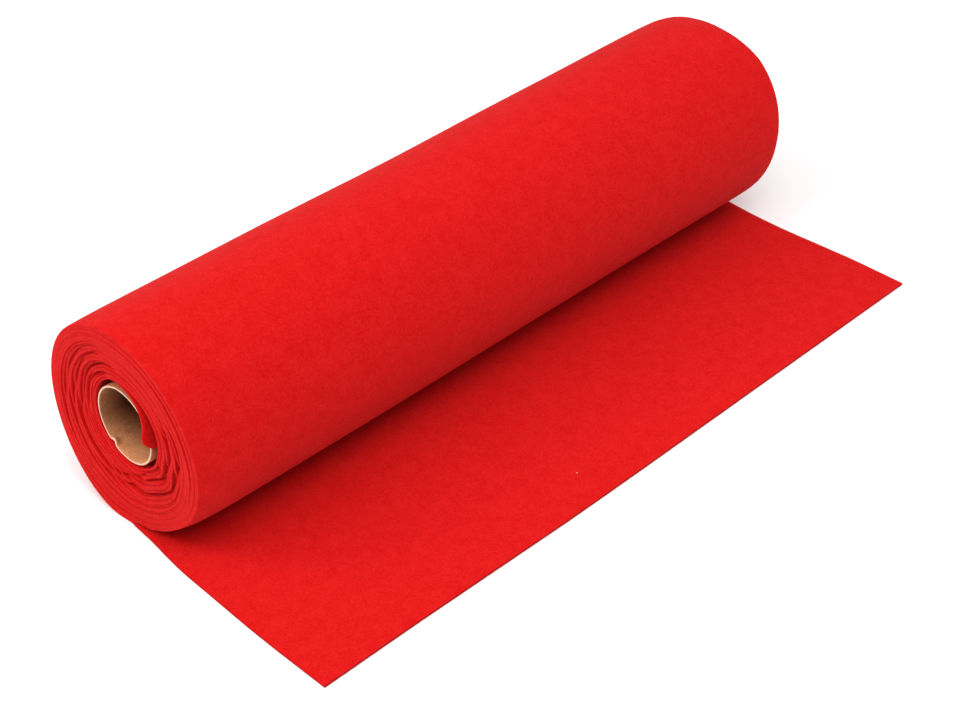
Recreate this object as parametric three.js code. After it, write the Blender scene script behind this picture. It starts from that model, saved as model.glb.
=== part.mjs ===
// A roll of craft felt on a cardboard tube, with its outer end rolled out flat in front of it.
// Millimetres, +Z up. X runs along the roll, and the loose end lies towards -Y.
// The felt is one length of cloth, so the wound form and its loose end are one solid.

import * as THREE from 'three';

// Driving dimensions
const PLY = 1.3;
const ROLL_RADIUS = 53.6;
const NEAR_END = -196.5;
const FAR_END = 204.8;
const LOOSE_REACH = 140.6;
const BORE_RADIUS = 19.6;

// The roll's own weight presses it flat underneath, most in its outer plies
const FLAT_SAG = 1.2;
const PRESSED_RADIUS = 50;
const PRESSED_FADE = 10;
const CREVICE_SLOPE = 0.04;

// The core, with the first turns round it, sits off the roll's middle, up and to the back
const CORE_OFF = { y: 1.5, z: 1.7 };
const OFF_RADIUS = 26;
const OFF_FADE = 22;
const CORE_OUTER_RADIUS = 19.2;
const CORE_WALL = 1.2;
const CORE_SET_BACK = 3.1;

// How finely the surfaces are divided
const COLUMNS = 60;
const LENGTH_STEPS = 6;
const LOOSE_STEPS = 12;
const LINES_PER_TWIST = 2;

// The felt leaves the roll underneath, so every turn is counted from there, and outwards
// in the order underside, front, top, back.
const LEAVE_ANGLE = 270;

// The wound form: how far out each main twist has come when it passes the underside
const TWISTS = [
  { twist: 0, radius: BORE_RADIUS },
  { twist: 1, radius: 25.2 },
  { twist: 2, radius: 29.8 },
  { twist: 3, radius: 34.3 },
  { twist: 4, radius: 38.6 },
  { twist: 5, radius: 42.8 },
  { twist: 6, radius: 46.6 },
  { twist: 7, radius: 49.8 },
  { twist: 8, radius: ROLL_RADIUS - PLY },
  { twist: 9, radius: ROLL_RADIUS },
];

// The ends are dished, with a groove between two twists that gets shallower outwards
const END_PROFILE = [
  { radius: BORE_RADIUS, dish: 3.4, groove: 3.2 },
  { radius: 24.0, dish: 3.1, groove: 3.2 },
  { radius: 30.0, dish: 2.6, groove: 3.0 },
  { radius: 35.0, dish: 2.1, groove: 2.6 },
  { radius: 41.0, dish: 1.4, groove: 2.2 },
  { radius: 47.0, dish: 0.6, groove: 1.7 },
  { radius: ROLL_RADIUS, dish: 0.0, groove: 0.9 },
];

// How far the last turn's edge stands out past the near end, going round
const NEAR_RIM = [
  { angle: 270, out: 0.6 },
  { angle: 330, out: 0.0 },
  { angle: 450, out: -0.4 },
  { angle: 505, out: -1.3 },
  { angle: 550, out: -1.4 },
  { angle: 575, out: 0.0 },
  { angle: 600, out: 2.0 },
  { angle: 615, out: 1.8 },
  { angle: 630, out: 0.9 },
];
const RIM_DEPTH = 7;

// The inner end of the felt stands out beside the core, over the first quarter turn
const INNER_END = [
  { angle: 354, out: 0.0 },
  { angle: 360, out: 5.2 },
  { angle: 384, out: 5.0 },
  { angle: 414, out: 3.4 },
  { angle: 444, out: 1.6 },
  { angle: 474, out: 0.0 },
];

// Open gaps between the core and the first turn, in front of and behind the inner end
const CORE_GAPS = [
  { angle: 342, deep: 0 },
  { angle: 354, deep: 7 },
  { angle: 396, deep: 7 },
  { angle: 414, deep: 0 },
  { angle: 450, deep: 0 },
  { angle: 462, deep: 7 },
  { angle: 510, deep: 7 },
  { angle: 534, deep: 0 },
];
const CORE_GAP_RADIUS = 25.2;

// Side edges of the loose end, as distances along X from the middle of the roll
const LOOSE_EDGES = [
  { reach: 0, near: -197.4, far: 204.8 },
  { reach: 17, near: -198.9, far: 203.9 },
  { reach: 27, near: -200.5, far: 203.4 },
  { reach: 42, near: -202.4, far: 203.0 },
  { reach: 63, near: -203.5, far: 203.6 },
  { reach: 91, near: -205.1, far: 205.0 },
  { reach: 110, near: -205.7, far: 205.8 },
  { reach: 141, near: -206.2, far: 205.4 },
];
const FRONT_BOW = 1.4;
const SIDE_ROUNDING = 0.3;

// Cardboard rim: a small dent low at the back of the near end
const DENT = { angle: 235.5, halfWidth: 9, inwards: 2.4, length: 9 };

// Linear interpolation in a table of rows, held level past both ends
function lookUp(rows, key, at, value) {
  if (at <= rows[0][key]) return rows[0][value];
  for (let i = 1; i < rows.length; i += 1) {
    const [low, high] = [rows[i - 1], rows[i]];
    if (at <= high[key]) {
      const share = (at - low[key]) / (high[key] - low[key]);
      return low[value] + share * (high[value] - low[value]);
    }
  }
  return rows[rows.length - 1][value];
}

// A closed mesh, gathered quad by quad: equal points are shared, and flat slivers are dropped
class Skin {
  constructor() {
    this.points = [];
    this.faces = [];
    this.numbers = new Map();
  }

  point(x, y, z) {
    const name = [x, y, z].map((value) => Math.round(value * 1e4)).join(' ');
    if (!this.numbers.has(name)) {
      this.numbers.set(name, this.numbers.size);
      this.points.push(x, y, z);
    }
    return this.numbers.get(name);
  }

  triangle(a, b, c) {
    if (a !== b && b !== c && c !== a) this.faces.push(a, b, c);
  }

  quad(a, b, c, d) {
    this.triangle(a, b, c);
    this.triangle(a, c, d);
  }

  // A net of points, rows by columns, as quads
  net(rows) {
    for (let i = 1; i < rows.length; i += 1) {
      for (let j = 1; j < rows[i].length; j += 1) {
        this.quad(rows[i - 1][j - 1], rows[i - 1][j], rows[i][j], rows[i][j - 1]);
      }
    }
  }

  geometry() {
    const geometry = new THREE.BufferGeometry();
    geometry.setAttribute('position', new THREE.Float32BufferAttribute(this.points, 3));
    geometry.setIndex(this.faces);
    geometry.computeVertexNormals();
    return geometry;
  }
}

// The roll's section: a point at an angle and a radius round the middle, which shifts to the
// core's own middle for the turns close round it
const AXIS_HEIGHT = ROLL_RADIUS - FLAT_SAG;

function onSection(angle, radius) {
  const turn = THREE.MathUtils.degToRad(angle);
  const off = 1 - THREE.MathUtils.clamp((radius - OFF_RADIUS) / OFF_FADE, 0, 1);
  return {
    y: off * CORE_OFF.y - radius * Math.cos(turn),
    z: AXIS_HEIGHT + off * CORE_OFF.z + radius * Math.sin(turn),
  };
}

// How low a point can lie: in front the outside rests on the loose end, and the plies
// further in are stacked on it, less and less flattened
function lowest(isOverLooseEnd, radius, y) {
  if (isOverLooseEnd) return PLY + CREVICE_SLOPE * Math.abs(y);
  const freedom = THREE.MathUtils.clamp((PRESSED_RADIUS - radius) / PRESSED_FADE, 0, 1);
  return ROLL_RADIUS - radius - FLAT_SAG * freedom;
}

// How deep an end lies behind its outer edge, at one point of the winding
function endDepth({ radius, groove }) {
  const dish = lookUp(END_PROFILE, 'radius', radius, 'dish');
  return dish + groove * lookUp(END_PROFILE, 'radius', radius, 'groove');
}

// How far the near end's outer turns stand out past it
function rimOut({ angle, radius }) {
  const share = THREE.MathUtils.clamp(1 - (ROLL_RADIUS - radius) / RIM_DEPTH, 0, 1);
  return share * lookUp(NEAR_RIM, 'angle', angle, 'out');
}

// At the core the inner end stands out, and the first turn stands off behind it
function coreDepth({ angle, radius, isInnerEnd }) {
  const out = lookUp(INNER_END, 'angle', angle, 'out');
  if (isInnerEnd && out > 0) return -out;
  return radius < CORE_GAP_RADIUS ? lookUp(CORE_GAPS, 'angle', angle, 'deep') : 0;
}

function nearX(spot) {
  return NEAR_END + endDepth(spot) - rimOut(spot) + coreDepth(spot);
}

function farX(spot) {
  return FAR_END - endDepth(spot);
}

// There is a groove between each two twists, which grows out of the inner end's first turn
function grooveShare(line, lines, turned) {
  if (line % LINES_PER_TWIST !== 0 || line === 0 || line === lines) return 0;
  return line === LINES_PER_TWIST ? turned : 1;
}

// The lines that follow the winding over one whole turn: for each angle, from the bore outwards
function windingColumns() {
  const lastTwist = TWISTS[TWISTS.length - 1].twist;
  const lines = lastTwist * LINES_PER_TWIST;
  const columns = [];
  for (let i = 0; i <= COLUMNS; i += 1) {
    const turned = i / COLUMNS;
    const angle = LEAVE_ANGLE + 360 * turned;
    const column = [];
    for (let j = 0; j <= lines; j += 1) {
      const radius = lookUp(TWISTS, 'twist', j / LINES_PER_TWIST - 1 + turned, 'radius');
      const isInnerEnd = j <= LINES_PER_TWIST;
      const groove = grooveShare(j, lines, turned);
      const isOverLooseEnd = j === lines && i < COLUMNS / 2;
      const { y, z: round } = onSection(angle, radius);
      const z = Math.max(round, lowest(isOverLooseEnd, radius, y));
      column.push({ angle, radius, isInnerEnd, groove, y, z });
    }
    columns.push(column);
  }
  return columns;
}

// A row of points along the roll, from the near to the far side, bowed towards the front
function alongX(skin, near, far, y, z, bow = 0) {
  const row = [];
  for (let k = 0; k <= LENGTH_STEPS; k += 1) {
    const share = k / LENGTH_STEPS;
    row.push(skin.point(near + (far - near) * share, y - bow * 4 * share * (1 - share), z));
  }
  return row;
}

// The felt: wound form with its two ends, bore and outside, and the loose end in one skin
function felt() {
  const skin = new Skin();
  const columns = windingColumns();
  const [start, last] = [columns[0], columns[COLUMNS]];

  // Where the winding closes on itself, the last column runs along the first one's points
  for (let j = LINES_PER_TWIST; j < start.length; j += 1) {
    last[j - LINES_PER_TWIST] = start[j];
  }

  const nearNet = columns.map((column) => column.map((spot) => skin.point(nearX(spot), spot.y, spot.z)));
  const farNet = columns.map((column) => column.map((spot) => skin.point(farX(spot), spot.y, spot.z)));
  const outside = columns.map((column) => {
    const spot = column[column.length - 1];
    return alongX(skin, nearX(spot), farX(spot), spot.y, spot.z);
  });
  skin.net(nearNet);
  skin.net(farNet.map(reversed));
  skin.net(outside);
  skin.net(columns.map((column, i) => [farNet[i][0], nearNet[i][0]]));
  looseEnd(skin, last.slice(-1 - LINES_PER_TWIST));
  return skin.geometry();
}

function reversed(row) {
  return [...row].reverse();
}

// The loose end goes on from the last ply: top, rounded side and underside, out to its front edge
function looseEnd(skin, [topSpot, sideSpot, underSpot]) {
  const edges = (spot, step, rounding) => {
    if (step === 0) return [nearX(spot), farX(spot)];
    const reach = (LOOSE_REACH * step) / LOOSE_STEPS;
    const [near, far] = ['near', 'far'].map((side) => lookUp(LOOSE_EDGES, 'reach', reach, side));
    return [near - rounding, far + rounding];
  };
  const top = [];
  const under = [];
  const nearSide = [];
  const farSide = [];
  for (let step = 0; step <= LOOSE_STEPS; step += 1) {
    const y = (-LOOSE_REACH * step) / LOOSE_STEPS;
    const bow = (FRONT_BOW * step) / LOOSE_STEPS;
    top.push(alongX(skin, ...edges(topSpot, step, 0), y, topSpot.z, bow));
    under.push(alongX(skin, ...edges(underSpot, step, 0), y, underSpot.z, bow));
    const [nearMiddle, farMiddle] = edges(sideSpot, step, SIDE_ROUNDING);
    const middleY = step === LOOSE_STEPS ? y - SIDE_ROUNDING : y;
    nearSide.push([top[step][0], skin.point(nearMiddle, middleY, sideSpot.z), under[step][0]]);
    farSide.push([under[step][LENGTH_STEPS], skin.point(farMiddle, middleY, sideSpot.z), top[step][LENGTH_STEPS]]);
  }
  const frontEdges = edges(sideSpot, LOOSE_STEPS, SIDE_ROUNDING);
  const frontMiddle = alongX(skin, ...frontEdges, -LOOSE_REACH - SIDE_ROUNDING, sideSpot.z, FRONT_BOW);
  skin.net(top.map(reversed));
  skin.net(under);
  skin.net(nearSide);
  skin.net(farSide);
  skin.net([under[LOOSE_STEPS], frontMiddle, top[LOOSE_STEPS]]);
}

// The core: a plain cardboard tube, with its near rim dented in at one place
function core() {
  const skin = new Skin();
  const near = NEAR_END + CORE_SET_BACK;
  const far = FAR_END - CORE_SET_BACK;
  const stations = [near, near + DENT.length, far];
  const dent = (angle, x) => {
    const side = Math.max(0, 1 - Math.abs(angle - DENT.angle) / DENT.halfWidth);
    const depth = Math.max(0, 1 - (x - near) / DENT.length);
    return DENT.inwards * side * depth;
  };
  const rings = [];
  for (let i = 0; i <= COLUMNS; i += 1) {
    const angle = (360 * i) / COLUMNS;
    const spot = (x, radius) => {
      const { y, z } = onSection(angle, radius - dent(angle, x));
      return skin.point(x, y, z);
    };
    const outside = stations.map((x) => spot(x, CORE_OUTER_RADIUS));
    const inside = stations.map((x) => spot(x, CORE_OUTER_RADIUS - CORE_WALL));
    rings.push([...outside, ...inside.reverse(), outside[0]]);
  }
  skin.net(rings);
  return skin.geometry();
}

function node(name, geometry, material) {
  const mesh = new THREE.Mesh(geometry, material);
  mesh.name = name;
  return mesh;
}

const redFelt = new THREE.MeshStandardMaterial({ color: 0xe01c1e, roughness: 0.95, metalness: 0 });
const cardboard = new THREE.MeshStandardMaterial({ color: 0xa87848, roughness: 0.85, metalness: 0 });

const roll = new THREE.Group();
roll.add(node('felt', felt(), redFelt));
roll.add(node('core', core(), cardboard));

// The origin is under the middle of the whole part, on the surface that it lies on
const bounds = new THREE.Box3().setFromObject(roll);
const middle = bounds.getCenter(new THREE.Vector3());
roll.position.set(-middle.x, -middle.y, -bounds.min.z);

export default roll;
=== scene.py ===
# A roll of red craft felt on a cardboard tube, its outer end rolled out flat in front of it.
# Metres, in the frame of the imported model: X along the roll, the loose end towards -Y, +Z up.

import math

import bpy
import numpy as np
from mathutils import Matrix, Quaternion, Vector


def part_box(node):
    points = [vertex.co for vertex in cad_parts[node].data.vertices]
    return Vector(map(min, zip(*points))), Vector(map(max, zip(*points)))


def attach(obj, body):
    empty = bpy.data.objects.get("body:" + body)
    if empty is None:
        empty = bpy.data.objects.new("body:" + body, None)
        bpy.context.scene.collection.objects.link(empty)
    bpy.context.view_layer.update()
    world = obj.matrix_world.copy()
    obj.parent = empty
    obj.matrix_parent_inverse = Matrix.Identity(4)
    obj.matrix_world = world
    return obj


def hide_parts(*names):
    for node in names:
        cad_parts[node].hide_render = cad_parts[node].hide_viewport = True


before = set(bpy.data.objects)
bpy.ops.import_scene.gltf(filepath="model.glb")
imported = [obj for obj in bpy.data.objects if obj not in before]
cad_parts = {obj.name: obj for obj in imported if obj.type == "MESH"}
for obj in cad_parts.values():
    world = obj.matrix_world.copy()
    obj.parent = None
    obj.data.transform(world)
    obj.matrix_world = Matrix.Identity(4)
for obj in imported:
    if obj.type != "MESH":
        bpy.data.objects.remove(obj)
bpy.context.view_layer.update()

MM = 0.001
FULL_TURN = 360.0

# The frame gives the core and the two ends, and the roll's middle lies a little off the core's
felt_low, felt_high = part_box("felt")
core_low, core_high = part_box("core")
CORE_OFF_Y = 1.5 * MM
CORE_OFF_Z = 1.7 * MM
CORE_SET_BACK = 3.1 * MM
CORE_WALL = 1.2 * MM
CORE_MIDDLE = (core_low + core_high) / 2
CORE_RADIUS = (core_high.z - core_low.z) / 2
NEAR_END = core_low.x - CORE_SET_BACK
FAR_END = core_high.x + CORE_SET_BACK
ROLL_Y = CORE_MIDDLE.y - CORE_OFF_Y
AXIS_HEIGHT = CORE_MIDDLE.z - CORE_OFF_Z

# The cloth
PLY = 1.22 * MM
PLY_GAP = 0.03 * MM
LOOSE_ROUNDING = 0.16 * MM
PAST_SOLID = 0.325 * MM
FRONT_BOW = 1.4 * MM
ROLL_RADIUS = felt_high.y - ROLL_Y + PAST_SOLID
LAST_INSIDE = ROLL_RADIUS - 2 * PLY - PLY_GAP
LOOSE_REACH = ROLL_Y - felt_low.y - FRONT_BOW

# The cut edges ripple by this much, in waves of these many degrees, and less at the rim
RIPPLE = 0.3 * MM
RIPPLE_LENGTHS = [1010, 640, 410, 235, 133]
RIM_CALM = 0.6

# The roll's outside is a little uneven: a broad and a narrow wave along it, from this radius out
UNEVEN_RADIUS = 38 * MM
BROAD_LENGTH = 290
BROAD_HEIGHT = 0.35 * MM
NARROW_LENGTH = 130
NARROW_HEIGHT = 0.22 * MM

# How much a turn's cut edges are rounded
EDGE_ROUNDING = [
    {"radius": 20, "by": 0.24},
    {"radius": 36, "by": 0.12},
    {"radius": 46, "by": 0.05},
    {"radius": 50, "by": 0.03},
    {"radius": 53, "by": 0.10},
]

# Where the turns change from round the core's middle to round the roll's
OFF_RADIUS = 26 * MM
OFF_FADE = 22 * MM

# The roll's weight presses it flat underneath
FLAT_SAG = 1.2 * MM
PRESSED_RADIUS = 50 * MM
PRESSED_FADE = 10 * MM
CREVICE_SLOPE = 0.04
CREVICE_RADIUS = 45 * MM
CREVICE_FADE = 7 * MM

# Angles go round from the front over the top: 0 front, 90 top, 180 back, 270 underside
STEPS_PER_TURN = 72
ANGLE_STEP = FULL_TURN / STEPS_PER_TURN
FIRST_ANGLE = -5.0
WHOLE_TURNS = 20
LAST_ANGLE = 270.0 + FULL_TURN * WHOLE_TURNS
LOOSE_STEPS = 44
UPRIGHT_SLOPE = 0.5
LENGTH_STATIONS = [0, 2, 4.5, 8, 13, 20, 34, 56, 84, 114, 144, 174]
EDGE_SHARES = [0.14, 0.5, 0.86]

# How far the first turn stands off the core, up to where the second one lies on it
FIRST_TURN = [
    {"angle": -5, "off": 0.1},
    {"angle": 45, "off": 0.2},
    {"angle": 70, "off": 0.5},
    {"angle": 90, "off": 1.4},
    {"angle": 105, "off": 3.0},
    {"angle": 120, "off": 3.2},
    {"angle": 135, "off": 2.9},
    {"angle": 155, "off": 2.1},
    {"angle": 175, "off": 1.4},
    {"angle": 240, "off": 1.4},
    {"angle": 262, "off": 2.1},
    {"angle": 286, "off": 2.9},
    {"angle": 330, "off": 3.1},
    {"angle": 345, "off": 3.5},
    {"angle": 355, "off": 4.0},
    {"angle": 363, "off": 4.5},
    {"angle": 376, "off": 4.7},
    {"angle": 400, "off": 4.8},
    {"angle": 430, "off": 4.7},
    {"angle": 450, "off": 4.5},
    {"angle": 480, "off": 4.5},
]

# Open gaps under a turn: which turn, between which angles, how gently it opens
NEAR_GAPS = [
    {"turn": 1, "from": 294, "to": 334, "fade": 10, "gap": 0.5},
    {"turn": 4, "from": 320, "to": 336, "fade": 16, "gap": 0.5},
    {"turn": 6, "from": 112, "to": 190, "fade": 20, "gap": 0.3},
    {"turn": 13, "from": 115, "to": 192, "fade": 22, "gap": 0.3},
]
FAR_GAPS = [
    {"turn": 4, "from": 20, "to": 90, "fade": 25, "gap": 0.8},
    {"turn": 5, "from": 170, "to": 230, "fade": 25, "gap": 0.6},
    {"turn": 8, "from": 290, "to": 350, "fade": 30, "gap": 0.9},
    {"turn": 11, "from": 90, "to": 150, "fade": 30, "gap": 0.6},
    {"turn": 14, "from": 0, "to": 60, "fade": 30, "gap": 0.5},
]
# The gaps close a little way in from each end
GAP_DEPTH = 9 * MM

# The inner turns are creased at the near end: how far out they stand, going round
CREASES = [
    {"angle": 240, "out": 0.0},
    {"angle": 262, "out": 0.5},
    {"angle": 272, "out": -0.7},
    {"angle": 284, "out": 0.9},
    {"angle": 298, "out": -1.1},
    {"angle": 313, "out": -0.6},
    {"angle": 328, "out": 1.2},
    {"angle": 342, "out": -0.5},
    {"angle": 362, "out": 0.0},
]
CREASE_RADII = [
    {"radius": 22, "share": 0.0},
    {"radius": 25, "share": 0.9},
    {"radius": 33, "share": 1.0},
    {"radius": 42, "share": 0.0},
]
CREASE_LENGTH = 11 * MM

# Valleys between the bundles of turns in the near end: where they run and how deep they are
VALLEYS = [
    [
        {"angle": 106, "radius": 25.0, "deep": 0.0},
        {"angle": 118, "radius": 25.4, "deep": 2.2},
        {"angle": 142, "radius": 26.7, "deep": 2.4},
        {"angle": 175, "radius": 25.9, "deep": 1.9},
        {"angle": 200, "radius": 27.2, "deep": 0.0},
    ],
    [
        {"angle": 90, "radius": 31.2, "deep": 0.0},
        {"angle": 112, "radius": 31.2, "deep": 2.4},
        {"angle": 143, "radius": 30.7, "deep": 2.7},
        {"angle": 179, "radius": 30.2, "deep": 2.2},
        {"angle": 193, "radius": 32.3, "deep": 1.4},
        {"angle": 242, "radius": 31.7, "deep": 1.4},
        {"angle": 253, "radius": 31.1, "deep": 1.9},
        {"angle": 270, "radius": 28.1, "deep": 2.2},
        {"angle": 282, "radius": 27.0, "deep": 2.2},
        {"angle": 294, "radius": 24.5, "deep": 2.2},
        {"angle": 310, "radius": 24.1, "deep": 2.2},
        {"angle": 324, "radius": 24.9, "deep": 2.2},
        {"angle": 340, "radius": 25.2, "deep": 0.0},
    ],
    [
        {"angle": 98, "radius": 38.9, "deep": 0.0},
        {"angle": 115, "radius": 37.8, "deep": 1.9},
        {"angle": 144, "radius": 35.6, "deep": 2.4},
        {"angle": 162, "radius": 34.7, "deep": 2.2},
        {"angle": 183, "radius": 36.5, "deep": 1.9},
        {"angle": 205, "radius": 38.4, "deep": 1.1},
        {"angle": 240, "radius": 36.8, "deep": 1.1},
        {"angle": 261, "radius": 34.1, "deep": 1.9},
        {"angle": 275, "radius": 32.5, "deep": 2.4},
        {"angle": 288, "radius": 34.0, "deep": 2.7},
        {"angle": 318, "radius": 34.7, "deep": 2.7},
        {"angle": 347, "radius": 35.8, "deep": 2.7},
        {"angle": 363, "radius": 38.4, "deep": 2.2},
        {"angle": 377, "radius": 39.5, "deep": 1.9},
        {"angle": 395, "radius": 39.6, "deep": 0.0},
    ],
    [
        {"angle": 272, "radius": 28.9, "deep": 0.0},
        {"angle": 281, "radius": 28.6, "deep": 2.4},
        {"angle": 313, "radius": 28.2, "deep": 3.0},
        {"angle": 328, "radius": 29.9, "deep": 3.2},
        {"angle": 341, "radius": 29.3, "deep": 3.0},
        {"angle": 361, "radius": 31.1, "deep": 2.7},
        {"angle": 376, "radius": 31.7, "deep": 2.4},
        {"angle": 384, "radius": 33.2, "deep": 1.9},
        {"angle": 398, "radius": 34.0, "deep": 0.0},
    ],
    [
        {"angle": 104, "radius": 42.4, "deep": 0.0},
        {"angle": 120, "radius": 41.4, "deep": 1.4},
        {"angle": 145, "radius": 40.5, "deep": 1.9},
        {"angle": 173, "radius": 41.2, "deep": 1.6},
        {"angle": 190, "radius": 43.2, "deep": 1.1},
        {"angle": 230, "radius": 43.0, "deep": 0.0},
    ],
]
VALLEY_WIDTH = 1.45 * MM

# The ends are dished towards the core
END_DISH = [
    {"radius": 19, "in": 3.4},
    {"radius": 24, "in": 3.0},
    {"radius": 30, "in": 2.5},
    {"radius": 35, "in": 2.0},
    {"radius": 41, "in": 1.3},
    {"radius": 47, "in": 0.6},
    {"radius": 53.6, "in": 0.0},
]

# How far the last turn's edge stands out past each end, going round
NEAR_RIM = [
    {"angle": 270, "out": 0.6},
    {"angle": 300, "out": 0.0},
    {"angle": 330, "out": -0.8},
    {"angle": 450, "out": -1.0},
    {"angle": 505, "out": -1.3},
    {"angle": 550, "out": -1.4},
    {"angle": 575, "out": -0.5},
    {"angle": 600, "out": 1.4},
    {"angle": 615, "out": 1.6},
    {"angle": 630, "out": 0.9},
]
FAR_RIM = [
    {"angle": 270, "out": 0.0},
    {"angle": 300, "out": -1.4},
    {"angle": 330, "out": -2.0},
    {"angle": 358, "out": -0.6},
    {"angle": 380, "out": 3.0},
    {"angle": 406, "out": 3.8},
    {"angle": 428, "out": 2.4},
    {"angle": 450, "out": 0.2},
    {"angle": 480, "out": -0.6},
    {"angle": 540, "out": 0.3},
    {"angle": 630, "out": 0.0},
]
RIM_DEPTH = 7 * MM

# How far the outer turns are drawn in at each end, going round: they open to the roll's full
# thickness over the first centimetre
NEAR_DRAW = [
    {"angle": 270, "in": 0.0},
    {"angle": 280, "in": 1.8},
    {"angle": 292, "in": 3.0},
    {"angle": 307, "in": 3.4},
    {"angle": 318, "in": 2.9},
    {"angle": 330, "in": 1.8},
    {"angle": 350, "in": 1.0},
    {"angle": 450, "in": 0.7},
    {"angle": 540, "in": 0.3},
    {"angle": 620, "in": 0.3},
    {"angle": 630, "in": 0.0},
]
FAR_DRAW = [
    {"angle": 270, "in": 0.0},
    {"angle": 330, "in": 1.0},
    {"angle": 365, "in": 0.3},
    {"angle": 410, "in": 0.2},
    {"angle": 440, "in": 1.8},
    {"angle": 460, "in": 2.2},
    {"angle": 490, "in": 1.6},
    {"angle": 560, "in": 0.8},
    {"angle": 630, "in": 0.0},
]
NEAR_DRAW_LENGTH = 10 * MM
FAR_DRAW_LENGTH = 5 * MM
DRAW_RADIUS = 34 * MM
DRAW_FADE = 16 * MM

# The near end bulges a little low at the back
NEAR_BULGE = [
    {"angle": 165, "out": 0.0},
    {"angle": 195, "out": 0.9},
    {"angle": 225, "out": 1.3},
    {"angle": 250, "out": 0.8},
    {"angle": 275, "out": 0.0},
]
BULGE_RADIUS = 22 * MM
BULGE_FADE = 7 * MM
SLACK_FROM_TURN = 4.0

# The inner end of the felt stands out of the near end beside the core, and its corner curls up.
# Behind it the first turn lies deeper than the core's rim.
INNER_END = [
    {"angle": -5, "in": -1.6},
    {"angle": 8, "in": -1.5},
    {"angle": 15, "in": -0.9},
    {"angle": 30, "in": 0.8},
    {"angle": 45, "in": 2.1},
    {"angle": 58, "in": 2.8},
    {"angle": 75, "in": 3.7},
    {"angle": 95, "in": 4.0},
    {"angle": 120, "in": 4.0},
    {"angle": 160, "in": 3.4},
]
INNER_END_FADE = 30.0
CORNER_CURL = 14.0
CURL_ANGLE = 45.0
CURL_LENGTH = 4 * MM

# How far the loose end's side edges stand out past the roll's ends, going forward
LOOSE_EDGES = [
    {"reach": 0, "near": 0.9, "far": 0.0},
    {"reach": 17, "near": 2.4, "far": -0.9},
    {"reach": 27, "near": 4.0, "far": -1.4},
    {"reach": 42, "near": 5.9, "far": -2.5},
    {"reach": 63, "near": 7.0, "far": -2.6},
    {"reach": 91, "near": 8.6, "far": -1.1},
    {"reach": 110, "near": 9.2, "far": -0.2},
    {"reach": 141, "near": 9.7, "far": -0.3},
]

# How far the front edge stands out from a straight line, going along it
FRONT_EDGE = [
    {"x": -200, "out": -0.5},
    {"x": -155, "out": -0.3},
    {"x": -96, "out": 0.6},
    {"x": -55, "out": 1.3},
    {"x": -11, "out": 1.2},
    {"x": 46, "out": 0.7},
    {"x": 107, "out": 0.2},
    {"x": 200, "out": -0.5},
]

# The tube's own sizes, and the dent in its near rim
CORE_FACETS = 160
RIM_BEVEL = 0.25 * MM
RIM_FACE_DEPTH = 0.01 * MM
DENT_ANGLE = 235.5
DENT_INWARDS = 2.4 * MM
DENT_SPREAD = 3.0 * MM

# The tube is a little oval: wider one way, which leans from upright, and narrower the other
OVAL_WIDE = 1.036
OVAL_NARROW = 0.976
OVAL_LEAN = 20.0

# Extra rings of points, this far in from each rim, so that the dent is smooth
RIM_CUTS = [0.8, 2.0, 3.6, 5.6, 8.5]

# Colours: each material is a mottling of a dark and a light one
FELT_DARK = (0.56, 0.0037, 0.0037, 1)
FELT_LIGHT = (0.64, 0.0107, 0.0103, 1)
# painted shade: a darker felt for the loose end's cut edges, where they stand in shade
CUT_SHADE_DARK = (0.34, 0.0028, 0.003, 1)
CUT_SHADE_LIGHT = (0.42, 0.008, 0.008, 1)
LINT = (0.86, 0.32, 0.30, 1)
BOARD_DARK = (0.60, 0.245, 0.098, 1)
BOARD_LIGHT = (0.84, 0.375, 0.165, 1)
# painted shade: the dark brown the board is mixed towards inside the tube
BOARD_PAINTED_SHADE = (0.10, 0.022, 0.008, 1)
# the cut rim's pale paper, tinted pink: partly painted reflection of the red felt
RIM_DARK = (0.66, 0.42, 0.34, 1)
RIM_LIGHT = (0.80, 0.58, 0.48, 1)
FLOOR_WHITE = (0.98, 0.98, 0.98, 1)

# How each material is mottled, how rough it is where dark and where light, and how its fibres stand up
SURFACES = [
    {"name": "red_felt", "dark": FELT_DARK, "light": FELT_LIGHT, "patches": 140, "fibres": 750,
     "specular": 0.03, "rough_dark": 1.0, "rough_light": 0.88, "bump": 0.5, "strength": 0.7},
    # painted shade on the loose end's cut edges
    {"name": "shaded_cut_felt", "dark": CUT_SHADE_DARK, "light": CUT_SHADE_LIGHT, "patches": 140, "fibres": 750,
     "specular": 0.03, "rough_dark": 1.0, "rough_light": 0.88, "bump": 0.5, "strength": 0.7},
    {"name": "brown_board", "dark": BOARD_DARK, "light": BOARD_LIGHT, "patches": 160, "fibres": 700,
     "specular": 0.2, "rough_dark": 0.9, "rough_light": 0.7, "bump": 0.2, "strength": 0.5},
    {"name": "pale_board", "dark": RIM_DARK, "light": RIM_LIGHT, "patches": 400, "fibres": 1500,
     "specular": 0.1, "rough_dark": 0.95, "rough_light": 0.8, "bump": 0.2, "strength": 0.5},
]
FELT_SHEEN = 0.035
FELT_SHEEN_ROUGHNESS = 0.5

# Painted shade: the board is darkened in the tube, fully so this deep in, and by the share above its lowest
# part, where it starts and ends at these heights from the tube's middle
PAINTED_SHADE_DEPTH = 28 * MM
BOARD_LIT_BELOW = -16 * MM
BOARD_SHADED_ABOVE = -4 * MM
BOARD_SHADE = 0.5

# Flecks of lint: how many places to a metre, and how far each reaches in its place
LINT_PLACES = 31
LINT_REACH = 0.012

# The camera, solved from the photograph, round a point on the floor
CAMERA_AZIMUTH = -45.29
CAMERA_ELEVATION = 36.68
CAMERA_ROLL = -0.44
CAMERA_DISTANCE = 1.0694
CAMERA_TARGET = Vector((NEAR_END + 198.96 * MM, ROLL_Y - 26.61 * MM, 0.0))
CAMERA_LENS = 79.67
SENSOR_WIDTH = 36.0

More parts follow.
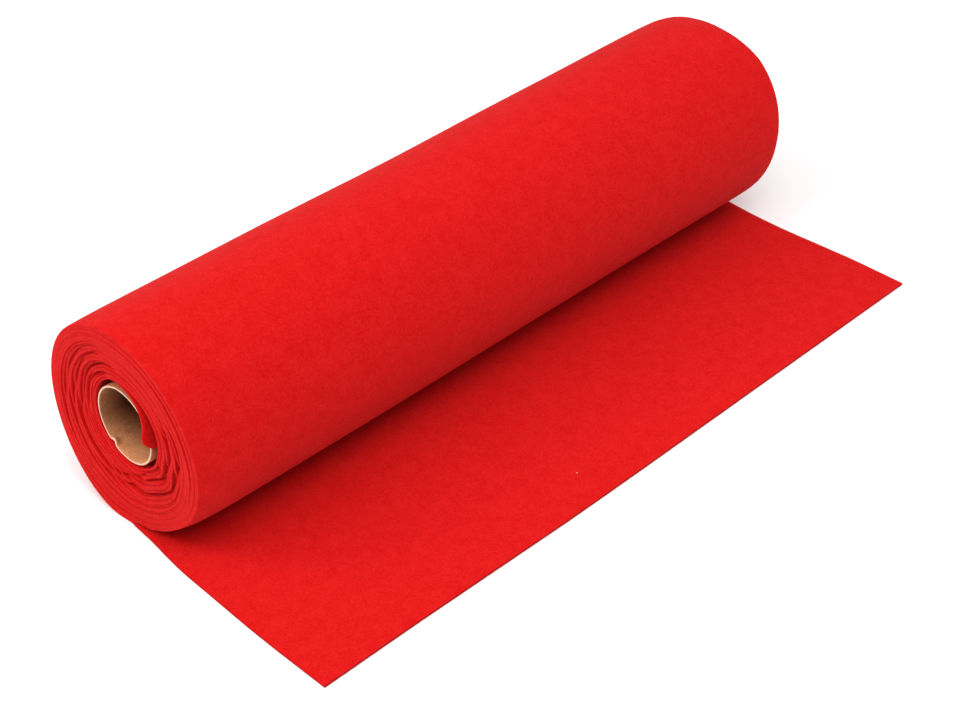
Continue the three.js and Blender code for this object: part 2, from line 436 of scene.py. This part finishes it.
# The light: a dim even room, a large ceiling, two softboxes at the front and two beside the near end
SKY_STRENGTH = 0.36
SOFTBOXES = [
    {"name": "ceiling", "size": 3.2, "power": 20.0, "place": (0.0, 0.0, 1.8)},
    {"name": "front_softbox", "size": 1.3, "power": 13.4, "place": (-0.4, -0.75, 1.75)},
    {"name": "right_softbox", "size": 1.3, "power": 7.4, "place": (0.2, -0.85, 1.75)},
    {"name": "near_softbox", "size": 0.7, "power": 9.6, "place": (-1.4, 0.35, 1.4)},
    {"name": "back_softbox", "size": 0.7, "power": 10.0, "place": (-1.2, 1.0, 1.2)},
]


def look_up(rows, key, at, value):
    """Linear interpolation in a table of rows, held level past both ends."""
    return np.interp(at, [row[key] for row in rows], [row[value] for row in rows])


def smooth(values, passes):
    """The same row of values with its corners rounded and its ends kept."""
    for _ in range(passes):
        inner = (values[:-2] + 2 * values[1:-1] + values[2:]) / 4
        values = np.concatenate([values[:1], inner, values[-1:]])
    return values


def smoothstep(share):
    share = np.clip(share, 0, 1)
    return share * share * (3 - 2 * share)


def waves(at, seed, lengths):
    """A smooth random row of values from about -1 to 1: one wave for each length."""
    phases = np.random.default_rng(seed).uniform(0, 2 * math.pi, len(lengths))
    rows = [np.sin(2 * math.pi * at / length + phase) for length, phase in zip(lengths, phases)]
    return sum(rows) / math.sqrt(len(lengths))


# Winding

angles = np.arange(FIRST_ANGLE, LAST_ANGLE + ANGLE_STEP / 2, ANGLE_STEP)


def gap_at(rows):
    """The width of the open gap under the cloth, all along the winding."""
    width = np.zeros_like(angles)
    for row in rows:
        start = FULL_TURN * row["turn"] + row["from"]
        end = FULL_TURN * row["turn"] + row["to"]
        outside = np.maximum(start - angles, angles - end)
        width += row["gap"] * MM * np.clip(1 - outside / row["fade"], 0, 1)
    return smooth(width, 1)


def wound_cloth(gap_rows):
    """The cloth's inner radius and its thickness, all along the winding: each turn lies on the one before."""
    radius = CORE_RADIUS + smooth(look_up(FIRST_TURN, "angle", angles, "off"), 1) * MM
    gaps = gap_at(gap_rows)
    for i in np.flatnonzero(angles > FIRST_TURN[-1]["angle"]):
        radius[i] = radius[i - STEPS_PER_TURN] + PLY + PLY_GAP + gaps[i]

    # The slack that is left up to the roll's outline is spread over the outer turns
    last_turn = slice(len(angles) - STEPS_PER_TURN, len(angles))
    turned = (angles[last_turn] - (LAST_ANGLE - FULL_TURN)) / FULL_TURN
    slack = LAST_INSIDE + turned * (PLY + PLY_GAP) - radius[last_turn]
    steps_back = (len(angles) - 1 - np.arange(len(angles))) % STEPS_PER_TURN
    turn = angles / FULL_TURN
    weight = smoothstep((turn - SLACK_FROM_TURN) / (turn[-STEPS_PER_TURN] - SLACK_FROM_TURN))
    radius += weight * slack[::-1][steps_back]

    # A ply is as thick as the room up to the next one, where that lies on it
    thickness = np.full_like(radius, PLY)
    inner = np.flatnonzero(angles > FIRST_TURN[-1]["angle"] - FULL_TURN)[:-STEPS_PER_TURN]
    room = radius[inner + STEPS_PER_TURN] - radius[inner] - gaps[inner + STEPS_PER_TURN]
    thickness[inner] = room - PLY_GAP
    return radius, thickness


def section(angle, radius):
    """Place in the roll's cross-section of a point at an angle and a radius."""
    turn = np.radians(angle)
    off = 1 - np.clip((radius - OFF_RADIUS) / OFF_FADE, 0, 1)
    y = off * CORE_OFF_Y - radius * np.cos(turn)
    z = AXIS_HEIGHT + off * CORE_OFF_Z + radius * np.sin(turn)
    freedom = np.clip((PRESSED_RADIUS - radius) / PRESSED_FADE, 0, 1)
    crevice = np.clip((radius - CREVICE_RADIUS) / CREVICE_FADE, 0, 1) * np.clip(-y, 0, None) * CREVICE_SLOPE
    over_loose_end = angle < LAST_ANGLE - FULL_TURN / 4
    lowest = ROLL_RADIUS - radius - FLAT_SAG * freedom + crevice * over_loose_end
    return ROLL_Y + y, np.maximum(z, lowest)


def unevenness(angle, x):
    """How far the roll's outside stands out or in, as hand-wound cloth does."""
    turn = np.radians(angle)
    along = x / MM
    broad = np.sin(2 * math.pi * along / BROAD_LENGTH + 0.6 + 1.1 * np.sin(turn)) * np.sin(2 * turn + 0.4)
    narrow = np.sin(2 * math.pi * along / NARROW_LENGTH + 2.0 * np.cos(turn)) * np.sin(3 * turn + 1.9)
    above_floor = smoothstep((np.sin(turn) + 0.95) / 0.5)
    return (BROAD_HEIGHT * broad + NARROW_HEIGHT * narrow) * above_floor


def in_last_turn(angle):
    """The same direction as an angle of the last turn, from 270 to 630."""
    return (angle - 270) % FULL_TURN + 270


def valley_depth(radius):
    """How deep the valleys between the near end's bundles are, all along the winding."""
    depth = np.zeros_like(radius)
    for rows in VALLEYS:
        first = rows[0]["angle"]
        round_angle = (angles - first) % FULL_TURN + first
        off = (radius - look_up(rows, "angle", round_angle, "radius") * MM) / VALLEY_WIDTH
        deep = look_up(rows, "angle", round_angle, "deep") * MM
        depth = np.maximum(depth, deep * np.exp(-off * off))
    return depth


def edge_places(winding, rim, seed):
    """How deep a cut edge lies behind an end of the roll, all along the winding."""
    radius = winding[0]
    dish = look_up(END_DISH, "radius", radius / MM, "in") * MM
    share = np.clip(1 - (ROLL_RADIUS - PLY - radius) / RIM_DEPTH, 0, 1)
    out = share * smooth(look_up(rim, "angle", in_last_turn(angles), "out"), 5) * MM
    ripple = RIPPLE * waves(angles, seed, RIPPLE_LENGTHS) * (1 - RIM_CALM * share)
    return dish - out + ripple


def near_edge(winding):
    """The near edge's place along X: the inner end stands out, and the lower back bulges."""
    radius = winding[0]
    deep = edge_places(winding, NEAR_RIM, 11) + valley_depth(radius + PLY / 2)
    bulge = look_up(NEAR_BULGE, "angle", angles % FULL_TURN, "out") * MM
    inside_rim = np.clip((ROLL_RADIUS - radius) / RIM_DEPTH, 0, 1)
    deep -= bulge * smoothstep((radius - BULGE_RADIUS) / BULGE_FADE) * inside_rim
    last = INNER_END[-1]["angle"]
    inner_end = look_up(INNER_END, "angle", angles, "in") * MM
    share = smoothstep((last + INNER_END_FADE - angles) / INNER_END_FADE)
    return NEAR_END + deep + share * (inner_end - deep)


def far_edge(winding):
    return FAR_END - edge_places(winding, FAR_RIM, 23)


def draw_in(x, radius):
    """How far the outer turns are drawn in near the roll's two ends."""
    round_angle = in_last_turn(angles)
    near = look_up(NEAR_DRAW, "angle", round_angle, "in") * np.exp(-(x - NEAR_END) / NEAR_DRAW_LENGTH)
    far = look_up(FAR_DRAW, "angle", round_angle, "in") * np.exp(-(FAR_END - x) / FAR_DRAW_LENGTH)
    return (near + far) * MM * smoothstep((radius - DRAW_RADIUS) / DRAW_FADE)


def corner_curl(x):
    """The inner end's near corner is turned up a little."""
    from_edge = np.clip(1 - (x - near_corner()) / CURL_LENGTH, 0, 1)
    return CORNER_CURL * from_edge * np.clip(1 - (angles - FIRST_ANGLE) / CURL_ANGLE, 0, 1)


def near_corner():
    return NEAR_END + INNER_END[0]["in"] * MM


def around_section(point, shares, rounding):
    """Columns of points round the cloth's section: inside, far edge, outside and near edge."""
    edge = [(t, rounding * (1 - math.sqrt(1 - (2 * t - 1) ** 2))) for t in EDGE_SHARES]
    columns = [point(0, share, rounding) for share in shares]
    columns += [point(t, 1, inset) for t, inset in edge]
    columns += [point(1, share, rounding) for share in shares[::-1]]
    columns += [point(t, 0, inset) for t, inset in edge[::-1]]
    return np.stack(columns, 1)


def creased(x, radius):
    """The inner turns with their creases at the near end."""
    share = look_up(CREASE_RADII, "radius", radius / MM, "share") * np.exp(-(x - NEAR_END) / CREASE_LENGTH)
    return radius + look_up(CREASES, "angle", (angles - 180) % FULL_TURN + 180, "out") * MM * share


def wound_loops(shares):
    """The wound cloth, one loop of points for each step of the winding."""
    at_near = wound_cloth(NEAR_GAPS)
    inside = wound_cloth([])
    at_far = wound_cloth(FAR_GAPS)
    near = near_edge(at_near)
    far = far_edge(at_far)

    def point(through, share, edge_in):
        x = near + edge_in + (far - near - 2 * edge_in) * share
        near_share = smoothstep(1 - (x - NEAR_END) / GAP_DEPTH)
        far_share = smoothstep(1 - (FAR_END - x) / GAP_DEPTH)
        radius, thickness = [
            middle + (at_one - middle) * near_share + (at_other - middle) * far_share
            for middle, at_one, at_other in zip(inside, at_near, at_far)]
        radius = creased(x, radius + thickness * through)
        radius = radius - draw_in(x, radius)
        loose = smoothstep((radius - UNEVEN_RADIUS) / (ROLL_RADIUS - UNEVEN_RADIUS))
        y, z = section(angles + corner_curl(x), radius + loose * unevenness(angles, x))
        return np.stack([x, y, z], -1)

    rounding = look_up(EDGE_ROUNDING, "radius", at_near[0] / MM, "by") * MM
    return around_section(point, shares, rounding)


def loose_loops(shares):
    """The loose end, flat on the surface, one loop of points for each step forward."""
    reach = np.linspace(0, LOOSE_REACH, LOOSE_STEPS + 1)[1:]
    near = NEAR_END - smooth(look_up(LOOSE_EDGES, "reach", reach / MM, "near"), 3) * MM
    far = FAR_END + smooth(look_up(LOOSE_EDGES, "reach", reach / MM, "far"), 3) * MM

    def point(through, share, edge_in):
        x = near + edge_in + (far - near - 2 * edge_in) * share
        bow = look_up(FRONT_EDGE, "x", x / MM, "out") * MM * (reach / LOOSE_REACH) ** 2
        z = np.full_like(x, (1 - through) * PLY)
        return np.stack([x, ROLL_Y - reach - bow, z], -1)

    return around_section(point, shares, LOOSE_ROUNDING)


def felt_loops():
    """The cloth as closed loops round its section, one for each step along its length."""
    from_end = np.array(LENGTH_STATIONS) * MM / (FAR_END - NEAR_END)
    shares = np.concatenate([from_end, [0.5], 1 - from_end[::-1]])
    return np.concatenate([wound_loops(shares), loose_loops(shares)]), len(shares)


def cap_faces(start, stations, edges, flip):
    """Closes one end of the cloth: a strip between its two surfaces and a small face at each corner."""
    top = [start + i for i in range(stations)]
    far_edge = [start + stations + i for i in range(edges)]
    under = [start + stations + edges + i for i in range(stations)]
    near_edge = [start + 2 * stations + edges + i for i in range(edges)]
    under_back = under[::-1]
    faces = [[top[i], top[i + 1], under_back[i + 1], under_back[i]] for i in range(stations - 1)]
    faces.append([top[-1], *far_edge, under[0]])
    faces.append([under[-1], *near_edge, top[0]])
    return [face[::-1] for face in faces] if flip else faces


def felt_mesh():
    loops, stations = felt_loops()
    count, around = loops.shape[:2]
    numbers = np.arange(count * around).reshape(count, around)
    here, there = numbers[:-1], numbers[1:]
    sides = np.stack([here, np.roll(here, -1, 1), np.roll(there, -1, 1), there], -1)
    faces = sides.reshape(-1, 4).tolist()
    faces += cap_faces(0, stations, len(EDGE_SHARES), True)
    faces += cap_faces((count - 1) * around, stations, len(EDGE_SHARES), False)
    mesh = bpy.data.meshes.new("felt_cloth")
    mesh.from_pydata(loops.reshape(-1, 3).tolist(), [], faces)
    mesh.update()
    return mesh


def new_object(name, mesh):
    made = bpy.data.objects.new(name, mesh)
    bpy.context.scene.collection.objects.link(made)
    return made


def select_only(piece):
    bpy.ops.object.select_all(action="DESELECT")
    piece.select_set(True)
    bpy.context.view_layer.objects.active = piece


def shade_smooth(piece, degrees):
    select_only(piece)
    bpy.ops.object.shade_smooth_by_angle(angle=math.radians(degrees))


def paint_shade_on_cut_edges(cloth):
    """Paints shade on the loose end's cut edges: gives them the cloth's second, darker material."""
    for face in cloth.data.polygons:
        upright = abs(face.normal.z) < UPRIGHT_SLOPE
        in_front = face.center.y < ROLL_Y and face.center.z < PLY
        face.material_index = int(upright and in_front)


# The core

def core_tube():
    """A cardboard tube: an open cylinder, dented at its near rim, that gets its wall by Solidify."""
    bpy.ops.object.select_all(action="DESELECT")
    length = core_high.x - core_low.x
    bpy.ops.mesh.primitive_cylinder_add(
        vertices=CORE_FACETS, radius=CORE_RADIUS - CORE_WALL / 2, depth=length, end_fill_type="NOTHING",
        location=CORE_MIDDLE, rotation=(0, math.radians(90), 0))
    tube = bpy.context.object
    tube.name = "core_tube"
    tube.scale = (OVAL_WIDE, OVAL_NARROW, 1)
    tube.rotation_mode = "QUATERNION"
    lean = Quaternion((1, 0, 0), math.radians(-OVAL_LEAN))
    tube.rotation_quaternion = lean @ tube.rotation_quaternion
    bpy.ops.object.transform_apply(location=True, rotation=True, scale=True)
    bpy.ops.object.mode_set(mode="EDIT")
    for cut in RIM_CUTS:
        for x in (core_low.x + cut * MM, core_high.x - cut * MM):
            bpy.ops.mesh.select_all(action="SELECT")
            bpy.ops.mesh.bisect(plane_co=(x, 0, 0), plane_no=(1, 0, 0))
    bpy.ops.object.mode_set(mode="OBJECT")
    dent_rim(tube)
    for name, values in (
        ("SOLIDIFY", {"thickness": CORE_WALL, "offset": 0.0, "use_even_offset": True}),
        ("BEVEL", {"width": RIM_BEVEL, "segments": 2, "limit_method": "ANGLE"}),
    ):
        modifier = tube.modifiers.new(name.title(), name)
        for key, value in values.items():
            setattr(modifier, key, value)
        bpy.ops.object.modifier_apply(modifier=modifier.name)
    return tube


def pale_rims(tube):
    """Gives the two cut rims the tube's second material."""
    for face in tube.data.polygons:
        depth = min(face.center.x - core_low.x, core_high.x - face.center.x)
        face.material_index = int(depth < RIM_FACE_DEPTH)


def dent_rim(tube):
    """Pushes the near rim in at one place."""
    turn = math.radians(DENT_ANGLE)
    outwards = Vector((0, -math.cos(turn), math.sin(turn)))
    place = Vector((core_low.x, CORE_MIDDLE.y, CORE_MIDDLE.z)) + outwards * (CORE_RADIUS - CORE_WALL / 2)
    bpy.ops.object.mode_set(mode="EDIT")
    bpy.ops.mesh.select_all(action="DESELECT")
    bpy.ops.object.mode_set(mode="OBJECT")
    nearest = min(tube.data.vertices, key=lambda vertex: (vertex.co - place).length)
    nearest.select = True
    bpy.ops.object.mode_set(mode="EDIT")
    bpy.ops.transform.translate(
        value=-outwards * DENT_INWARDS, use_proportional_edit=True,
        proportional_edit_falloff="SMOOTH", proportional_size=DENT_SPREAD)
    bpy.ops.object.mode_set(mode="OBJECT")


# Materials

def new_group(name, inputs, outputs):
    """An empty node group with number and vector sockets."""
    group = bpy.data.node_groups.new(name, "ShaderNodeTree")
    for socket, kind, value in inputs:
        made = group.interface.new_socket(name=socket, in_out="INPUT", socket_type=kind)
        made.default_value = value
    for socket in outputs:
        group.interface.new_socket(name=socket, in_out="OUTPUT", socket_type="NodeSocketFloat")
    return group


def fibre_mottling():
    """Soft patches and short fibres: a shade from 0 to 1 and a height for the bump."""
    inputs = [
        ("Place", "NodeSocketVector", (0, 0, 0)),
        ("Patches", "NodeSocketFloat", 100.0),
        ("Fibres", "NodeSocketFloat", 900.0),
    ]
    group = new_group("Fibre mottling", inputs, ["Shade", "Height"])
    nodes, links = group.nodes, group.links
    given = nodes.new("NodeGroupInput")
    result = nodes.new("NodeGroupOutput")
    patches = nodes.new("ShaderNodeTexNoise")
    patches.inputs["Detail"].default_value = 3
    patches.inputs["Roughness"].default_value = 0.6
    links.new(given.outputs["Place"], patches.inputs["Vector"])
    links.new(given.outputs["Patches"], patches.inputs["Scale"])
    fibres = nodes.new("ShaderNodeTexNoise")
    fibres.inputs["Detail"].default_value = 3
    fibres.inputs["Roughness"].default_value = 0.7
    fibres.inputs["Distortion"].default_value = 1.6
    links.new(given.outputs["Place"], fibres.inputs["Vector"])
    links.new(given.outputs["Fibres"], fibres.inputs["Scale"])
    mixed = nodes.new("ShaderNodeMix")
    mixed.inputs["Factor"].default_value = 0.75
    links.new(patches.outputs["Fac"], mixed.inputs["A"])
    links.new(fibres.outputs["Fac"], mixed.inputs["B"])
    spread = nodes.new("ShaderNodeMapRange")
    spread.inputs["From Min"].default_value = 0.4
    spread.inputs["From Max"].default_value = 0.6
    links.new(mixed.outputs["Result"], spread.inputs["Value"])
    links.new(spread.outputs["Result"], result.inputs["Shade"])
    links.new(fibres.outputs["Fac"], result.inputs["Height"])
    return group


def mix_colours(tree, factor, dark, light):
    """A mix of two colours; either may be a colour or another node's output."""
    mix = tree.nodes.new("ShaderNodeMix")
    mix.data_type = "RGBA"
    tree.links.new(factor, mix.inputs["Factor"])
    for socket, colour in (("A", dark), ("B", light)):
        target = next(given for given in mix.inputs if given.name == socket and given.type == "RGBA")
        if isinstance(colour, tuple):
            target.default_value = colour
        else:
            tree.links.new(colour, target)
    return next(given for given in mix.outputs if given.type == "RGBA")


def add_mottling(tree, patches, fibres):
    place = tree.nodes.new("ShaderNodeTexCoord")
    mottling = tree.nodes.new("ShaderNodeGroup")
    mottling.node_tree = mottling_group
    mottling.inputs["Patches"].default_value = patches
    mottling.inputs["Fibres"].default_value = fibres
    tree.links.new(place.outputs["Object"], mottling.inputs["Place"])
    return mottling


def add_bump(tree, shader, height, distance, strength):
    bump = tree.nodes.new("ShaderNodeBump")
    bump.inputs["Strength"].default_value = strength
    bump.inputs["Distance"].default_value = distance
    tree.links.new(height, bump.inputs["Height"])
    tree.links.new(bump.outputs["Normal"], shader.inputs["Normal"])


def uneven_roughness(tree, shader, shade, low, high):
    spread = tree.nodes.new("ShaderNodeMapRange")
    spread.inputs["To Min"].default_value = low
    spread.inputs["To Max"].default_value = high
    tree.links.new(shade, spread.inputs["Value"])
    tree.links.new(spread.outputs["Result"], shader.inputs["Roughness"])


def lint(tree):
    """Where a few pale flecks of lint lie: 1 on a fleck, 0 elsewhere."""
    place = tree.nodes.new("ShaderNodeTexCoord")
    cells = tree.nodes.new("ShaderNodeTexVoronoi")
    cells.inputs["Scale"].default_value = LINT_PLACES
    tree.links.new(place.outputs["Object"], cells.inputs["Vector"])
    fleck = tree.nodes.new("ShaderNodeMath")
    fleck.operation = "LESS_THAN"
    fleck.inputs[1].default_value = LINT_REACH
    tree.links.new(cells.outputs["Distance"], fleck.inputs[0])
    return fleck.outputs["Value"]


def share_of(tree, value, start, end, most):
    """A number that goes from 0 at the start to the most at the end, held level past both."""
    spread = tree.nodes.new("ShaderNodeMapRange")
    spread.inputs["From Min"].default_value = start
    spread.inputs["From Max"].default_value = end
    spread.inputs["To Max"].default_value = most
    tree.links.new(value, spread.inputs["Value"])
    return spread.outputs["Result"]


def combined(tree, operation, first, second):
    """Two nodes' outputs put together by one step of arithmetic."""
    step = tree.nodes.new("ShaderNodeMath")
    step.operation = operation
    tree.links.new(first, step.inputs[0])
    tree.links.new(second, step.inputs[1])
    return step.outputs["Value"]


def painted_shade_inside(tree):
    """How much painted shade the board gets, from 0 to 1: more deeper in the tube and above its lowest part.
    """
    place = tree.nodes.new("ShaderNodeTexCoord")
    axes = tree.nodes.new("ShaderNodeSeparateXYZ")
    tree.links.new(place.outputs["Object"], axes.inputs["Vector"])
    along = axes.outputs["X"]
    from_near = share_of(tree, along, core_low.x, core_low.x + PAINTED_SHADE_DEPTH, 1.0)
    from_far = share_of(tree, along, core_high.x, core_high.x - PAINTED_SHADE_DEPTH, 1.0)
    deep = combined(tree, "MINIMUM", from_near, from_far)
    low = CORE_MIDDLE.z + BOARD_LIT_BELOW
    high = CORE_MIDDLE.z + BOARD_SHADED_ABOVE
    up = share_of(tree, axes.outputs["Z"], low, high, BOARD_SHADE)
    return combined(tree, "ADD", deep, up)


def surface(name):
    """A new material by its row in the table: the material, its shader and its mottled colour."""
    row = next(row for row in SURFACES if row["name"] == name)
    material = bpy.data.materials.new(name)
    material.use_nodes = True
    tree = material.node_tree
    shader = tree.nodes["Principled BSDF"]
    shader.inputs["Specular IOR Level"].default_value = row["specular"]
    mottling = add_mottling(tree, row["patches"], row["fibres"])
    shade = mottling.outputs["Shade"]
    uneven_roughness(tree, shader, shade, row["rough_dark"], row["rough_light"])
    add_bump(tree, shader, mottling.outputs["Height"], row["bump"] * MM, row["strength"])
    return material, shader, mix_colours(tree, shade, row["dark"], row["light"])


def felt(name):
    """Red felt with its flecks of lint and a faint sheen."""
    material, shader, reds = surface(name)
    tree = material.node_tree
    colour = mix_colours(tree, lint(tree), reds, LINT)
    tree.links.new(colour, shader.inputs["Base Color"])
    shader.inputs["Sheen Weight"].default_value = FELT_SHEEN
    shader.inputs["Sheen Roughness"].default_value = FELT_SHEEN_ROUGHNESS
    return material


def brown_board():
    """The tube's board, with painted shade inside the tube."""
    material, shader, browns = surface("brown_board")
    tree = material.node_tree
    # painted shade: the mottled brown darkened deep in the tube and above its lowest part
    colour = mix_colours(tree, painted_shade_inside(tree), browns, BOARD_PAINTED_SHADE)
    tree.links.new(colour, shader.inputs["Base Color"])
    return material


def pale_board():
    """The tube's cut rims: pale paper, tinted pink by painted reflection of the red felt."""
    material, shader, colour = surface("pale_board")
    material.node_tree.links.new(colour, shader.inputs["Base Color"])
    return material


# Stage, light and camera

def stage():
    bpy.ops.object.select_all(action="DESELECT")
    bpy.ops.mesh.primitive_plane_add(size=12, location=(0, 0, -0.15 * MM))
    floor = bpy.context.object
    floor.name = "floor"
    material = bpy.data.materials.new("white_floor")
    material.use_nodes = True
    shader = material.node_tree.nodes["Principled BSDF"]
    shader.inputs["Base Color"].default_value = FLOOR_WHITE
    shader.inputs["Roughness"].default_value = 0.9
    shader.inputs["Specular IOR Level"].default_value = 0.0
    floor.data.materials.append(material)


def light():
    world = bpy.data.worlds.new("white_studio")
    world.use_nodes = True
    world.node_tree.nodes["Background"].inputs["Color"].default_value = (1, 1, 1, 1)
    world.node_tree.nodes["Background"].inputs["Strength"].default_value = SKY_STRENGTH
    bpy.context.scene.world = world
    for row in SOFTBOXES:
        softbox(row)


def softbox(row):
    lamp = bpy.data.lights.new(row["name"], "AREA")
    lamp.size = row["size"]
    lamp.energy = row["power"]
    made = bpy.data.objects.new(row["name"], lamp)
    bpy.context.scene.collection.objects.link(made)
    made.location = row["place"]
    made.rotation_mode = "QUATERNION"
    made.rotation_quaternion = (-made.location).to_track_quat("-Z", "Y")


def camera():
    turn = math.radians(CAMERA_AZIMUTH)
    rise = math.radians(CAMERA_ELEVATION)
    back = Vector((math.sin(turn) * math.cos(rise), -math.cos(turn) * math.cos(rise), math.sin(rise)))
    data = bpy.data.cameras.new("camera")
    data.sensor_width = SENSOR_WIDTH
    data.lens = CAMERA_LENS
    made = bpy.data.objects.new("camera", data)
    bpy.context.scene.collection.objects.link(made)
    made.location = CAMERA_TARGET + back * CAMERA_DISTANCE
    made.rotation_mode = "QUATERNION"
    level = (-back).to_track_quat("-Z", "Y")
    made.rotation_quaternion = level @ Quaternion((0, 0, 1), math.radians(CAMERA_ROLL))
    bpy.context.scene.camera = made


camera()
stage()
light()
bpy.context.scene.view_settings.view_transform = "Standard"

mottling_group = fibre_mottling()

tube = core_tube()
tube.data.materials.append(brown_board())
tube.data.materials.append(pale_board())
pale_rims(tube)
shade_smooth(tube, 35)
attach(tube, "root")
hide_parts("core")

cloth = new_object("felt_cloth", felt_mesh())
cloth.data.materials.append(felt("red_felt"))
# the second, darker felt is painted shade on the loose end's cut edges
cloth.data.materials.append(felt("shaded_cut_felt"))
paint_shade_on_cut_edges(cloth)
shade_smooth(cloth, 60)
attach(cloth, "root")
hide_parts("felt")
